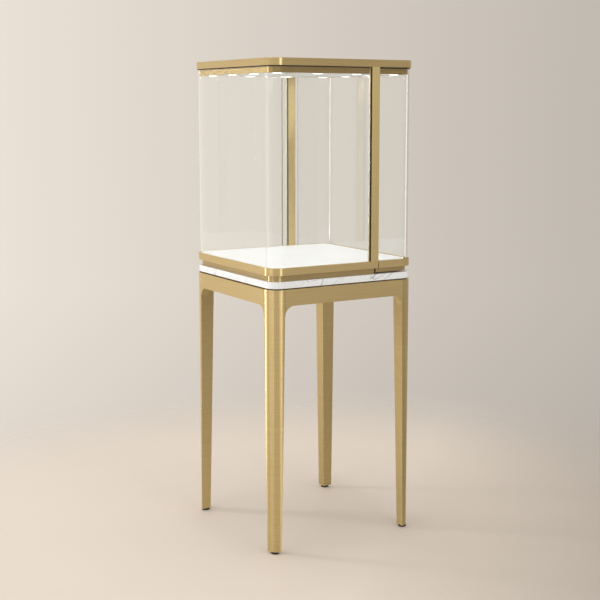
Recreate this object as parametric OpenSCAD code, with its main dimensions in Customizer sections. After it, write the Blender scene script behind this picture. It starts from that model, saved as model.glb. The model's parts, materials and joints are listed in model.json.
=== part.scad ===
// Glass tower display case: a glazed chamber with a hinged rear door, on a four-legged brass table.
// Front is -Y, the door is at +Y, the floor is z = 0 and the plan is centred on the origin.

/* [Plan] */
// Width of the case across the front
case_w = 450; // [420:5:600]
// Depth of the case from front to back
case_d = 450; // [420:5:600]
// Radius of the upright corners at the outer faces
corner_r = 37; // [30:1:38]

/* [Table] */
// Length of a leg, from its foot to the top of the rails
leg_h = 703; // [450:5:900]
// Width of a leg at the rails
leg_top_w = 40.5; // [39:0.5:55]
// Width of a leg at the floor
leg_foot_w = 29; // [26:0.5:38]
// Sheet that the legs are folded from
leg_wall = 2; // [1.5:0.5:3]
// Height of the rails between the legs
rail_h = 43; // [30:1:70]
// Depth of the rails, front to back
rail_t = 25; // [18:1:30]
// Wall of the rail tube
rail_wall = 2; // [1.5:0.5:3]
// Radius of the arch where a rail meets a leg
arch_r = 28; // [10:1:60]
// Side of the corner plates that tie the rails together
gusset_w = 90; // [80:1:110]
// Thickness of the corner plates
gusset_t = 5; // [3:1:8]

/* [Levelling feet] */
// Height of the foot pad
pad_h = 6; // [4:1:12]
// Diameter of the foot pad
pad_d = 22; // [18:1:24]
// Distance of a foot from the two outer faces of its corner
foot_inset = 18; // [17:0.5:20]
// Diameter of the threaded stud
stud_d = 8; // [6:1:10]
// Length of the stud above the pad
stud_l = 30; // [24:1:40]
// Height of the threaded socket inside the leg
socket_h = 22; // [16:1:30]
// Wall of the threaded socket
socket_wall = 3; // [2:0.5:4]

/* [Stone slab] */
// Thickness of the dark plate under the slab
bed_h = 3; // [2:0.5:6]
// How far the dark plate stands back from the outer faces
bed_inset = 7; // [4:0.5:12]
// Thickness of the marble slab
slab_h = 18; // [12:1:30]
// How far the slab stands back from the outer faces
slab_inset = 2; // [1:0.5:5]
// Diameter of the bolts that hold the slab and the base to the table
bolt_d = 6; // [5:1:8]

/* [Display base] */
// Height of the recessed plinth
plinth_h = 16; // [14:1:30]
// How far the plinth stands back from the outer faces
plinth_inset = 10.5; // [10:0.5:11]
// Sheet of the fixed plinth
plinth_wall = 2; // [1.5:0.5:2.5]
// Height of the rim round the deck
rim_h = 20; // [16:1:30]
// Floor of the rim, under the glass
rim_floor = 2; // [1.5:0.5:3]
// Width of the lip behind the glass, which carries the deck
lip_w = 2.7; // [2:0.1:3.2]
// Thickness of the white deck
deck_t = 3; // [2:0.5:5]
// Thickness of the board under the deck
board_t = 6; // [4:1:8]
// Floor of the base box
box_floor = 6; // [4:1:8]

/* [Glass] */
// Clear height between the rim and the upper band
clear_h = 497; // [300:5:800]
// Thickness of the bent glass
glass_t = 5; // [4:0.5:5]
// How far the glass stands back from the outer faces
glass_inset = 4; // [3.5:0.5:4]
// Height of the setting bed under the glass
glass_bed_h = 2; // [1:0.5:3]

/* [Door frame] */
// Width of the two upright jambs
jamb_w = 24; // [18:1:30]
// Wall of the jamb tube
jamb_wall = 1.5; // [1:0.5:2]
// Rear face of the jambs, behind the centre of the case
jamb_back = 106; // [60:1:110]
// Joint between the jambs and the door
door_gap = 2; // [1.5:0.5:4]
// Width of the black seal in front of each jamb
seal_w = 4; // [3:0.2:8]
// Width of the brass trim on the edge of the fixed glass
trim_w = 1.4; // [1:0.2:2]
// How far the fixed plinth ends in front of the jamb's rear face
plinth_back = 6.4; // [4:0.2:10]
// How far the door's plinth rail starts in front of the jamb's rear face
plinth_lap = 2; // [1:0.5:3]

/* [Door] */
// Distance of the pivots from the outer face
pivot_inset = 17; // [16:0.5:18]
// Diameter of the pivot pins
pivot_d = 6; // [5:0.5:7]
// Wall of the pivot bushes
bush_wall = 2; // [1:0.5:2]
// Gap between the slab and the door's plinth rail
door_lift = 3.5; // [3:0.25:5]
// Thickness of the washer that the door turns on
washer_t = 0.5; // [0.5:0.25:1]
// Gap between the door and the cap
door_top_gap = 1; // [0.75:0.25:2]
// Depth of the door's plinth rail
plinth_rail_t = 5.5; // [4:0.5:6]
// Depth of the door's top rail
top_rail_t = 10; // [8:0.5:11]

/* [Lock] */
// Distance of the lock from the outer face of its side
lock_side = 75; // [65:5:160]
// Diameter of the lock barrel
lock_d = 9; // [8:0.5:10]
// Reach of the cam from the centre of the lock
cam_reach = 18; // [16:0.5:20]
// Thickness of the cam
cam_t = 2; // [1.5:0.25:2]
// Thickness of the keeper
keeper_t = 1.5; // [1:0.25:1.5]

/* [Top] */
// Height of the band under the cap
band_h = 18; // [14:1:30]
// Height of the cap
cap_h = 19; // [14:1:30]
// Sheet of the cap and the band
cap_wall = 2; // [1.5:0.5:2.5]
// Thickness of the plate that closes the cap
plate_t = 3; // [2:0.5:4]
// How far the light tray stands back from the outer faces
tray_inset = 25; // [24:0.5:27]

/* [Lights] */
// Diameter of a downlight's ring
light_d = 32; // [24:1:34]
// Diameter of a downlight's lens
lens_d = 28; // [18:1:30]
// Distance of the row of downlights from the outer faces
light_inset = 45; // [44:1:60]
// Downlights along each side
lights_side = 4; // [2:1:5]

/* [Hidden] */
// Smoothness of curves
$fn = 96;
// Clearance between curved pieces that move past each other
run_gap = 0.05;
// Clearance round a bolt or a cable
hole_gap = 0.3;
// Clearance of a groove on each side of the glass
groove_gap = 0.3;
// Clearance round the swing of the door's nose
nose_gap = 0.8;
// Clearance between flat pieces that move past each other
slide_gap = 0.5;

// Half sizes of the plan
half_w = case_w / 2;
half_d = case_d / 2;

// Heights of the joints, from the floor up
table_z = pad_h + leg_h;
rail_z = table_z - rail_h;
slab_z = table_z + bed_h;
plinth_z = slab_z + slab_h;
rim_z = plinth_z + plinth_h;
deck_z = rim_z + rim_h;
board_z = deck_z - deck_t;
box_top = board_z - board_t;
band_z = deck_z + clear_h;
cap_z = band_z + band_h;
top_z = cap_z + cap_h;
glass_z = rim_z + rim_floor + glass_bed_h;
door_z = plinth_z + door_lift;
door_top = cap_z - door_top_gap;

// Insets of the pieces round the plan
band_inset = glass_inset + glass_t;
wall_inset = glass_inset - groove_gap;
lip_inset = band_inset + groove_gap;
rim_inside = lip_inset + lip_w;
box_inset = rim_inside + 1;
deck_inset = lip_inset + groove_gap;

// Places along the sides
jamb_front = jamb_back - jamb_w;
seal_front = jamb_front - seal_w;
glass_end = seal_front - trim_w;
door_front = jamb_back + door_gap;

// Door pivots, and the nose that turns about them
nose_r = pivot_inset;
glass_nose_r = nose_r - 1;
pivot_x = pivot_inset - half_w;
pivot_y = door_front + nose_r;
bush_r = pivot_d / 2 + bush_wall;
top_nose_r = nose_r - 3;
knuckle_r = pivot_inset - plinth_inset;

// The fixed floor stands back behind the jambs, so that the door swings clear of it
door_lip_w = lip_w + 2;
back_box_inset = 22;
back_box_r = 30;
back_deck_inset = 15;
back_deck_r = 25;
tray_r = 30;
tray_wall = 1.5;
tray_floor = 2;

// Base box
box_cavity_inset = 38;
box_cavity_r = 20;
pivot_plate_t = door_lift - washer_t;
pivot_plate_w = 30;
pocket_gap = 3;

// Levelling feet
foot_x = half_w - foot_inset;
foot_y = half_d - foot_inset;

// Bolts through the slab
bolt_r = bolt_d / 2;
bolt_inset = 60;
bolt_x = half_w - bolt_inset;
bolt_y = half_d - bolt_inset;
bolt_head_h = 4;
bolt_head_r = bolt_d * 0.85;
nut_h = bolt_d * 0.8;
nut_r = bolt_d * 0.92;
bolt_end = 2;

// Power supply in the base
driver_w = 120;
driver_d = 50;
driver_h = 16;
driver_side = 155;
driver_x = driver_side - half_w;
cable_r = 2;
inlet_side = 105;
inlet_back = 75;
inlet_x = inlet_side - half_w;
inlet_y = half_d - inlet_back;
inlet_r = 6;
inlet_flange_r = 10;
inlet_flange_t = 2;
cable_y = (jamb_front + jamb_back) / 2;
driver_y = cable_y - driver_d / 2;
cable_x = -half_w + band_inset / 2;
cable_z = plinth_z + box_floor + driver_h - cable_r - 1;
supply_z = plinth_z + box_floor + 3 * cable_r;
supply_y = driver_y + driver_d - 3 * cable_r;
drop_x = -half_w + 75;

// Lock
lock_x = half_w - lock_side;
lock_z = door_z + (rim_z - door_z) / 2;
lock_r = lock_d / 2;
lock_face = half_d - plinth_inset;
lock_flange_t = 1.5;
plug_r = lock_r - 1.5;
keyway_w = 1.2;
keyway_l = 4;
keyway_depth = 3;
cam_back = half_d - back_box_inset + 2 * slide_gap;
cam_front = cam_back + cam_t;
cam_w = 8;
cam_tail_r = 4;
keeper_front = cam_front + slide_gap;
keeper_x = lock_x + lock_r + 5;
keeper_w = 18;
keeper_top = rim_z - slide_gap;

// Ceiling and cap fixings
post_r = 4;
post_in = 105;
screw_r = 2;
screw_head_r = 4;
screw_head_h = 1.2;
cap_post_in = 75;
ring_h = 1;
lens_up = 0.3;
lens_h = 3;
light_body_h = 12;
light_x = half_w - light_inset;
light_y = half_d - light_inset;

// Colours
brass = [0.79, 0.69, 0.48];
marble = [0.94, 0.94, 0.93];
dark = [0.12, 0.11, 0.10];
clear = [0.86, 0.90, 0.89, 0.35];
steel = [0.62, 0.62, 0.62];
white = [0.95, 0.95, 0.94];
glow = [1.0, 0.97, 0.88];
board = [0.2, 0.18, 0.16];
bronze = [0.62, 0.45, 0.25];

// Corners of the plan, as signs of x and y
CORNERS = [[-1, -1], [1, -1], [-1, 1], [1, 1]];

// Outline of the case, moved in by inset, with corners of radius r
module outline(inset, r) {
    w = case_w - 2 * inset;
    d = case_d - 2 * inset;
    square([w - 2 * r, d], center = true);
    square([w, d - 2 * r], center = true);
    for (c = CORNERS)
        translate([c[0] * (w / 2 - r), c[1] * (d / 2 - r)]) circle(r = r);
}

// Outline whose corners stay concentric with the outer ones
module plan(inset) {
    outline(inset, corner_r - inset);
}

// Ring between two insets
module ring(outer, inner) {
    difference() {
        plan(outer);
        plan(inner);
    }
}

// Everything in front of y = back
module front_zone(back) {
    translate([-case_w, -case_d]) square([2 * case_w, case_d + back]);
}

// The door's own part of the plan: it starts at y = front on the free side,
// and ends in a nose of radius nose about the pivot on the hinge side
module door_zone(front, nose) {
    translate([-case_w, pivot_y]) square([2 * case_w, case_d]);
    translate([0, front]) square([case_w, pivot_y - front + 1]);
    translate([pivot_x, pivot_y]) circle(r = nose);
}

// Upright solid from z = low to z = high
module raised(low, high) {
    translate([0, 0, low]) linear_extrude(high - low) children();
}

// Upright round bar
module bar(x, y, low, high, r) {
    translate([x, y, low]) cylinder(h = high - low, r = r);
}

// Puts a shape made for the +X +Y corner at the corner with signs sx and sy
module at_corner(sx, sy) {
    mirror([sx < 0 ? 1 : 0, 0, 0]) mirror([0, sy < 0 ? 1 : 0, 0]) children();
}

// Straight length of cable from a to b, with a round bend at b
module cable(a, b, r) {
    v = b - a;
    translate(a) rotate([0, acos(v[2] / norm(v)), atan2(v[1], v[0])]) cylinder(h = norm(v), r = r);
    translate(b) sphere(r = r * 1.05);
}

// Side view of a leg: the outer face is upright and the inner face leans in towards the foot
module leg_side(half, wall) {
    top = half - leg_top_w + wall;
    foot = half - leg_foot_w + wall;
    polygon([[foot, 0], [half + 1, 0], [half + 1, table_z], [top, table_z], [top, rail_z - arch_r]]);
}

// Leg of the +X +Y corner, or its inner space when wall is the sheet
module leg_form(wall) {
    intersection() {
        raised(pad_h + wall, table_z - wall) plan(wall);
        translate([0, case_d, 0]) rotate([90, 0, 0]) linear_extrude(2 * case_d) leg_side(half_w, wall);
        translate([-case_w, 0, 0]) rotate([90, 0, 90]) linear_extrude(2 * case_w) leg_side(half_d, wall);
    }
}

module leg(sx, sy) {
    color(brass)
    at_corner(sx, sy)
    difference() {
        leg_form(0);
        leg_form(leg_wall);
        bar(foot_x, foot_y, pad_h - 1, pad_h + leg_wall + 1, stud_d / 2 + hole_gap);
    }
}

// Front view of a rail, with an arch down to the leg at each end
module rail_face(half) {
    end = half - leg_top_w;
    translate([-end, rail_z]) square([2 * end, rail_h]);
    for (s = [-1, 1])
        difference() {
            translate([s * (end - arch_r / 2), rail_z - arch_r / 2]) square(arch_r, center = true);
            translate([s * (end - arch_r), rail_z - arch_r]) circle(r = arch_r);
        }
}

// Rail along X whose outer face is at y = out
module rail(half, out) {
    color(brass)
    difference() {
        translate([0, out, 0]) rotate([90, 0, 0]) linear_extrude(rail_t) rail_face(half);
        translate([-half, out - rail_t + rail_wall, rail_z + rail_wall])
            cube([2 * half, rail_t - 2 * rail_wall, rail_h - 2 * rail_wall]);
    }
}

// Plates that tie each leg and its two rails together, and take the slab's bolts
module rail_gussets() {
    color(steel)
    for (c = CORNERS)
        at_corner(c[0], c[1])
        difference() {
            raised(table_z - gusset_t, table_z) polygon([
                [half_w - rail_t, half_d - rail_t - gusset_w],
                [half_w - rail_t, half_d - leg_top_w],
                [half_w - leg_top_w, half_d - leg_top_w],
                [half_w - leg_top_w, half_d - rail_t],
                [half_w - rail_t - gusset_w, half_d - rail_t]
            ]);
            bar(bolt_x, bolt_y, table_z - gusset_t - 1, table_z + 1, bolt_r + hole_gap);
        }
}

// Threaded sockets that stand on the closed lower ends of the legs
module foot_sockets() {
    color(steel)
    for (c = CORNERS)
        at_corner(c[0], c[1])
        difference() {
            bar(foot_x, foot_y, pad_h + leg_wall, pad_h + leg_wall + socket_h, stud_d / 2 + socket_wall);
            bar(foot_x, foot_y, pad_h, pad_h + leg_wall + socket_h + 1, stud_d / 2 + run_gap);
        }
}

module foot_pad(sx, sy) {
    color(dark) bar(sx * foot_x, sy * foot_y, 0, pad_h, pad_d / 2);
}

module foot_stud(sx, sy) {
    color(steel) bar(sx * foot_x, sy * foot_y, pad_h, pad_h + stud_l, stud_d / 2);
}

// Clearance holes for the slab's bolts and the power inlet
module slab_holes(low, high) {
    for (c = CORNERS)
        bar(c[0] * bolt_x, c[1] * bolt_y, low - 1, high + 1, bolt_r + hole_gap);
    bar(inlet_x, inlet_y, low - 1, high + 1, inlet_r + hole_gap);
}

module slab_bed_plate() {
    color(dark)
    difference() {
        raised(table_z, slab_z) plan(bed_inset);
        slab_holes(table_z, slab_z);
    }
}

module marble_slab() {
    color(marble)
    difference() {
        raised(slab_z, plinth_z) plan(slab_inset);
        slab_holes(slab_z, plinth_z);
    }
}

module slab_bolts() {
    under = table_z - gusset_t;
    color(steel)
    for (c = CORNERS) {
        bar(c[0] * bolt_x, c[1] * bolt_y, under - bolt_head_h, under, bolt_head_r);
        bar(c[0] * bolt_x, c[1] * bolt_y, under - 1, plinth_z + box_floor + nut_h + bolt_end, bolt_r);
    }
}

module slab_nuts() {
    color(steel)
    for (c = CORNERS)
        translate([c[0] * bolt_x, c[1] * bolt_y, plinth_z + box_floor])
        difference() {
            cylinder(h = nut_h, r = nut_r, $fn = 6);
            translate([0, 0, -1]) cylinder(h = nut_h + 2, r = bolt_r + run_gap);
        }
}

// Recessed plinth wall round the front and the fixed sides
module plinth_front() {
    color(brass)
    raised(plinth_z, rim_z)
    intersection() {
        ring(plinth_inset, plinth_inset + plinth_wall);
        front_zone(jamb_back - plinth_back);
    }
}

// Rim channel: floor, outer wall and inner lip, with a solid end under each jamb
module rim_front() {
    color(brass)
    difference() {
        union() {
            raised(rim_z, rim_z + rim_floor) rim_part(0, rim_inside, -case_d);
            raised(rim_z, deck_z) rim_part(0, wall_inset, -case_d);
            raised(rim_z, board_z) rim_part(lip_inset, rim_inside, -case_d);
            raised(rim_z, board_z) rim_part(0, rim_inside, jamb_front);
            raised(rim_z, deck_z) rim_part(0, band_inset, jamb_front);
        }
        bar(cable_x, cable_y, cable_z, deck_z + 1, cable_r + hole_gap);
        translate([cable_x, cable_y, cable_z]) sphere(r = cable_r + hole_gap);
        translate([cable_x, cable_y, cable_z]) rotate([0, 90, 0]) cylinder(h = rim_inside, r = cable_r + hole_gap);
    }
}

// Ring between two insets, from y = front to the joint with the door
module rim_part(outer, inner, front) {
    intersection() {
        ring(outer, inner);
        translate([-case_w, front]) square([2 * case_w, jamb_back - front]);
    }
}

// Plan of the fixed floor: full width up to the joint, then drawn in where the door closes round it
module floor_plan(front_inset, back, back_inset, back_r) {
    intersection() {
        plan(front_inset);
        front_zone(back);
    }
    intersection() {
        outline(back_inset, back_r);
        translate([-case_w, 0]) square([2 * case_w, case_d]);
    }
}

// Box that stands on the slab, carries the deck and houses the power supply
module base_box() {
    plate_out = pivot_plate_w + 2 * pocket_gap;
    color(board)
    difference() {
        raised(plinth_z, box_top)
            floor_plan(box_inset, jamb_back - plinth_back, back_box_inset, back_box_r);
        raised(plinth_z + box_floor, box_top + 1) outline(box_cavity_inset, box_cavity_r);
        raised(plinth_z - 1, box_top + 1)
            translate([-half_w, pivot_y - plate_out / 2])
            square([pivot_inset + nose_r + pocket_gap - 1, plate_out]);
        slab_holes(plinth_z, plinth_z + box_floor);
        translate([-half_w, cable_y, cable_z]) rotate([0, 90, 0])
            cylinder(h = box_cavity_inset + 1, r = cable_r + hole_gap);
    }
}

// Board under the deck, cut back round the pivot
module deck_board() {
    color(board)
    raised(box_top, board_z)
    difference() {
        floor_plan(box_inset, jamb_back - plinth_back, back_box_inset, back_box_r);
        translate([pivot_x, pivot_y]) circle(r = nose_r + nose_gap);
    }
}

// White deck that the exhibits stand on
module deck_panel() {
    color(white)
    raised(board_z, deck_z)
    difference() {
        floor_plan(deck_inset, jamb_back, back_deck_inset, back_deck_r);
        translate([pivot_x, pivot_y]) circle(r = nose_r + nose_gap);
    }
}

// Power supply for the lights
module led_driver() {
    color(steel)
    translate([driver_x, driver_y, plinth_z + box_floor]) cube([driver_w, driver_d, driver_h]);
}

module supply_cable() {
    top = plinth_z + box_floor + 1;
    color(dark) {
        cable([inlet_x, inlet_y, top], [inlet_x, inlet_y, supply_z], cable_r);
        cable([inlet_x, inlet_y, supply_z], [inlet_x, supply_y, supply_z], cable_r);
        translate([inlet_x, supply_y, supply_z]) rotate([0, 90, 0]) cylinder(h = driver_x - inlet_x, r = cable_r);
    }
}

// Cable from the power supply, up inside the left jamb and down into the light tray
module light_cable() {
    turn_z = cap_z + plate_t + 3 * cable_r;
    color(dark) {
        cable([driver_x, cable_y, cable_z], [cable_x, cable_y, cable_z], cable_r);
        cable([cable_x, cable_y, cable_z], [cable_x, cable_y, turn_z], cable_r);
        cable([cable_x, cable_y, turn_z], [drop_x, cable_y, turn_z], cable_r);
        bar(drop_x, cable_y, band_z + tray_floor, turn_z, cable_r);
    }
}

// Low-voltage socket on the underside of the table
module power_inlet() {
    color(dark) {
        bar(inlet_x, inlet_y, table_z - inlet_flange_t, table_z, inlet_flange_r);
        bar(inlet_x, inlet_y, table_z - 1, plinth_z + box_floor + 1, inlet_r);
    }
}

// One bent pane for the front and the front part of both sides
module glass_front() {
    color(clear)
    raised(glass_z, cap_z)
    intersection() {
        ring(glass_inset, band_inset);
        front_zone(glass_end);
    }
}

module glass_bed() {
    color(dark)
    raised(rim_z + rim_floor, glass_z)
    intersection() {
        ring(glass_inset, band_inset);
        front_zone(glass_end);
    }
}

// Upright tube between the fixed glass and the door
module jamb(side) {
    x = half_w - band_inset;
    color(brass)
    mirror([side < 0 ? 1 : 0, 0, 0])
    raised(deck_z, cap_z)
    difference() {
        translate([x, jamb_front]) square([band_inset, jamb_w]);
        translate([x + jamb_wall, jamb_front + jamb_wall])
            square([band_inset - 2 * jamb_wall, jamb_w - 2 * jamb_wall]);
    }
}

// Upright strip at both sides, between two insets and two places along the side
module side_strips(outer, inner, front, back) {
    for (s = [0, 1])
        mirror([s, 0, 0])
        raised(deck_z, cap_z)
        translate([half_w - inner, front]) square([inner - outer, back - front]);
}

module jamb_seals() {
    color(dark) side_strips(wall_inset, band_inset, seal_front, jamb_front);
}

module glass_trims() {
    color(brass) side_strips(wall_inset - 1, band_inset, glass_end, seal_front);
}

// Fixed part of the band under the cap: an outer wall and a floor that meets the light tray
module upper_band() {
    color(brass) {
        raised(band_z, cap_z) rim_part(band_inset, band_inset + cap_wall, -case_d);
        raised(band_z, band_z + cap_wall)
        intersection() {
            difference() {
                plan(band_inset);
                outline(tray_inset, tray_r);
            }
            front_zone(jamb_back);
        }
    }
}

module cap_shell() {
    color(brass)
    difference() {
        raised(cap_z, top_z) plan(0);
        raised(cap_z - 1, top_z - cap_wall) plan(cap_wall);
    }
}

// Plate that closes the cap from below and holds the upper pivot
module cap_plate() {
    color(brass)
    difference() {
        raised(cap_z, cap_z + plate_t) plan(cap_wall);
        bar(cable_x, cable_y, cap_z - 1, cap_z + plate_t + 1, cable_r + hole_gap);
        bar(drop_x, cable_y, cap_z - 1, cap_z + plate_t + 1, cable_r + hole_gap);
        bar(pivot_x, pivot_y, cap_z - 1, cap_z + plate_t + 1, pivot_d / 2 + run_gap);
        for (p = cap_post_places())
            bar(p[0], p[1], cap_z - 1, cap_z + plate_t + 1, screw_r + hole_gap);
        for (p = tray_post_places())
            bar(p[0], p[1], cap_z - 1, cap_z + plate_t + 1, screw_r + hole_gap);
    }
}

function cap_post_places() = [
    [half_w - cap_post_in, 0], [cap_post_in - half_w, 0],
    [0, half_d - cap_post_in], [0, cap_post_in - half_d]
];

function tray_post_places() = [
    for (c = CORNERS) [c[0] * (half_w - post_in), c[1] * (half_d - post_in)]
];

// Posts under the cap's top that the plate is screwed to
module cap_posts() {
    color(steel)
    for (p = cap_post_places())
        difference() {
            bar(p[0], p[1], cap_z + plate_t, top_z - cap_wall, post_r);
            bar(p[0], p[1], cap_z, top_z - cap_wall - 1, screw_r + run_gap);
        }
}

module cap_screws() {
    color(steel)
    for (p = cap_post_places()) {
        bar(p[0], p[1], cap_z - screw_head_h, cap_z, screw_head_r);
        bar(p[0], p[1], cap_z - 0.5, top_z - cap_wall - 2, screw_r);
    }
}

// Plan of the downlights: an even ring along the four sides
function light_row(half) = [for (i = [0 : lights_side - 1]) half * (2 * i / (lights_side - 1) - 1)];
function light_places() = concat(
    [for (x = light_row(light_x), s = [-1, 1]) [x, s * light_y]],
    [for (y = light_row(light_y), s = [-1, 1]) if (abs(y) < light_y - 1) [s * light_x, y]]
);

// White tray that hangs under the cap and holds the downlights
module light_tray() {
    color(white)
    difference() {
        raised(band_z, cap_z) tray_plan(0);
        raised(band_z + tray_floor, cap_z + 1) tray_plan(tray_wall);
        for (p = light_places())
            bar(p[0], p[1], band_z - 1, band_z + tray_floor + 1, lens_d / 2);
        for (p = tray_post_places())
            bar(p[0], p[1], band_z - 1, band_z + tray_floor + 1, screw_r + hole_gap);
    }
}

// Plan of the tray, scooped out round the pivot, less a wall
module tray_plan(wall) {
    difference() {
        outline(tray_inset + wall, tray_r - wall);
        translate([pivot_x, pivot_y]) circle(r = glass_nose_r + nose_gap + wall);
    }
}

module tray_posts() {
    color(steel)
    for (p = tray_post_places())
        difference() {
            bar(p[0], p[1], band_z + tray_floor, cap_z, post_r);
            bar(p[0], p[1], band_z, cap_z + 1, screw_r + run_gap);
        }
}

module tray_screws() {
    color(steel)
    for (p = tray_post_places()) {
        bar(p[0], p[1], band_z - screw_head_h, band_z, screw_head_r);
        bar(p[0], p[1], band_z - 0.5, cap_z + plate_t + 1, screw_r);
    }
}

module downlight_rings() {
    color(white)
    for (p = light_places())
        difference() {
            bar(p[0], p[1], band_z - ring_h, band_z, light_d / 2);
            bar(p[0], p[1], band_z - ring_h - 1, band_z + 1, lens_d / 2);
        }
}

module downlight_lenses() {
    color(glow)
    for (p = light_places())
        bar(p[0], p[1], band_z - ring_h + lens_up, band_z - ring_h + lens_up + lens_h, lens_d / 2);
}

module downlight_bodies() {
    low = band_z - ring_h + lens_up + lens_h;
    color(steel)
    for (p = light_places())
        bar(p[0], p[1], low, low + light_body_h, lens_d / 2);
}

// Dark plate on the slab that carries the lower pivot
module pivot_plate() {
    color(dark)
    difference() {
        raised(plinth_z, plinth_z + pivot_plate_t)
            translate([pivot_x, pivot_y]) square([2 * (pivot_inset - slab_inset - 2), pivot_plate_w], center = true);
        bar(pivot_x, pivot_y, plinth_z - 1, plinth_z + pivot_plate_t + 1, pivot_d / 2);
    }
}

module pivot_pin_lower() {
    color(steel) bar(pivot_x, pivot_y, plinth_z, rim_z - 1, pivot_d / 2);
}

module pivot_washer() {
    color(bronze)
    difference() {
        bar(pivot_x, pivot_y, plinth_z + pivot_plate_t, door_z, knuckle_r);
        bar(pivot_x, pivot_y, plinth_z, door_z + 1, pivot_d / 2 + run_gap);
    }
}

// Upper pivot: its head rests on the cap's plate
module pivot_pin_upper() {
    color(steel) {
        bar(pivot_x, pivot_y, cap_z + plate_t, cap_z + plate_t + 2, pivot_d / 2 + 3);
        bar(pivot_x, pivot_y, band_z + 2 * cap_wall, cap_z + plate_t + 1, pivot_d / 2);
    }
}

// Keeper: an angle on the slab, against the back of the base box
module lock_keeper() {
    color(steel) {
        translate([keeper_x, keeper_front, plinth_z]) cube([keeper_w, keeper_t, keeper_top - plinth_z]);
        translate([keeper_x, half_d - back_box_inset, plinth_z])
            cube([keeper_w, keeper_front - half_d + back_box_inset + keeper_t, keeper_t]);
    }
}

// Bent pane of the door: the back and the rear part of both sides
module door_glass() {
    color(clear)
    raised(glass_z, door_top)
    intersection() {
        ring(glass_inset, band_inset);
        door_zone(door_front, glass_nose_r);
    }
}

module door_bottom_rail() {
    lip_top = board_z - groove_gap;
    color(brass) {
        raised(rim_z, rim_z + rim_floor + glass_bed_h) door_part(0, lip_inset + door_lip_w);
        raised(rim_z, deck_z) door_part(0, wall_inset);
        raised(rim_z, lip_top) door_part(lip_inset, lip_inset + door_lip_w);
    }
}

module door_part(outer, inner) {
    intersection() {
        ring(outer, inner);
        door_zone(door_front, nose_r);
    }
}

// Lower rail of the door, with the bush of the lower pivot and the lock through it
module door_plinth_rail() {
    color(brass)
    difference() {
        union() {
            raised(door_z, rim_z)
            intersection() {
                ring(plinth_inset, plinth_inset + plinth_rail_t);
                door_zone(jamb_back - plinth_lap, knuckle_r);
            }
            bar(pivot_x, pivot_y, door_z, rim_z, knuckle_r);
        }
        bar(pivot_x, pivot_y, door_z - 1, rim_z + 1, bush_r);
        translate([lock_x, half_d, lock_z]) rotate([90, 0, 0]) cylinder(h = half_d - cam_front, r = lock_r);
    }
}

// Upper rail of the door: an outer wall and a floor, with a knuckle for the upper bush
module door_top_rail() {
    color(brass)
    difference() {
        union() {
            raised(band_z, door_top) top_part(cap_wall);
            raised(band_z, band_z + cap_wall) top_part(top_rail_t);
            bar(pivot_x, pivot_y, band_z, door_top, pivot_inset - band_inset - 0.5);
        }
        bar(pivot_x, pivot_y, band_z + cap_wall, door_top + 1, bush_r);
    }
}

module top_part(wall) {
    intersection() {
        ring(band_inset, band_inset + wall);
        door_zone(door_front, top_nose_r);
    }
}

// Bronze bushes of the two pivots
module door_bushes() {
    color(bronze)
    difference() {
        union() {
            bar(pivot_x, pivot_y, door_z, rim_z, bush_r);
            bar(pivot_x, pivot_y, band_z + cap_wall, door_top, bush_r);
        }
        bar(pivot_x, pivot_y, door_z - 1, rim_z + 1, pivot_d / 2 + run_gap);
        bar(pivot_x, pivot_y, band_z, door_top + 1, pivot_d / 2 + run_gap);
    }
}

// Round bar along Y on the lock's axis
module lock_bar(low, high, r) {
    translate([lock_x, high, lock_z]) rotate([90, 0, 0]) cylinder(h = high - low, r = r);
}

module lock_barrel() {
    color(steel)
    difference() {
        union() {
            lock_bar(cam_front + slide_gap, lock_face + lock_flange_t, lock_r);
            lock_bar(lock_face, lock_face + lock_flange_t, lock_r + 1.5);
        }
        lock_bar(cam_front, half_d, plug_r + run_gap);
    }
}

// Plug with its keyway, and the cam on its inner end, which points up when unlocked
module lock_plug_and_cam() {
    color(steel)
    difference() {
        union() {
            lock_bar(cam_back - slide_gap, lock_face + lock_flange_t, plug_r);
            lock_bar(cam_back, cam_front, cam_tail_r);
            translate([lock_x - cam_w / 2, cam_back, lock_z]) cube([cam_w, cam_t, cam_reach]);
        }
        translate([lock_x - keyway_w / 2, lock_face + lock_flange_t - keyway_depth, lock_z - keyway_l / 2])
            cube([keyway_w, keyway_depth + 1, keyway_l]);
    }
}

leg(-1, -1);  // leg_front_left
leg(1, -1);  // leg_front_right
leg(-1, 1);  // leg_back_left
leg(1, 1);  // leg_back_right
rotate([0, 0, 180]) rail(half_w, half_d);  // rail_front
rail(half_w, half_d);  // rail_back
rotate([0, 0, 90]) rail(half_d, half_w);  // rail_left
rotate([0, 0, -90]) rail(half_d, half_w);  // rail_right
rail_gussets();
foot_sockets();
slab_bed_plate();
marble_slab();
slab_bolts();
slab_nuts();
foot_pad(-1, -1);  // foot_pad_front_left
foot_pad(1, -1);  // foot_pad_front_right
foot_pad(-1, 1);  // foot_pad_back_left
foot_pad(1, 1);  // foot_pad_back_right
foot_stud(-1, -1);  // foot_stud_front_left
foot_stud(1, -1);  // foot_stud_front_right
foot_stud(-1, 1);  // foot_stud_back_left
foot_stud(1, 1);  // foot_stud_back_right
plinth_front();
rim_front();
base_box();
deck_board();
deck_panel();
led_driver();
supply_cable();
light_cable();
power_inlet();
glass_front();
glass_bed();
jamb(-1);  // jamb_left
jamb(1);  // jamb_right
jamb_seals();
glass_trims();
upper_band();
cap_shell();
cap_plate();
cap_posts();
cap_screws();
light_tray();
tray_posts();
tray_screws();
downlight_rings();
downlight_lenses();
downlight_bodies();
pivot_plate();
pivot_pin_lower();
pivot_washer();
pivot_pin_upper();
lock_keeper();
door_glass();
door_bottom_rail();
door_plinth_rail();
door_top_rail();
door_bushes();
lock_barrel();
lock_plug_and_cam();
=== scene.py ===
import json
import math

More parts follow.
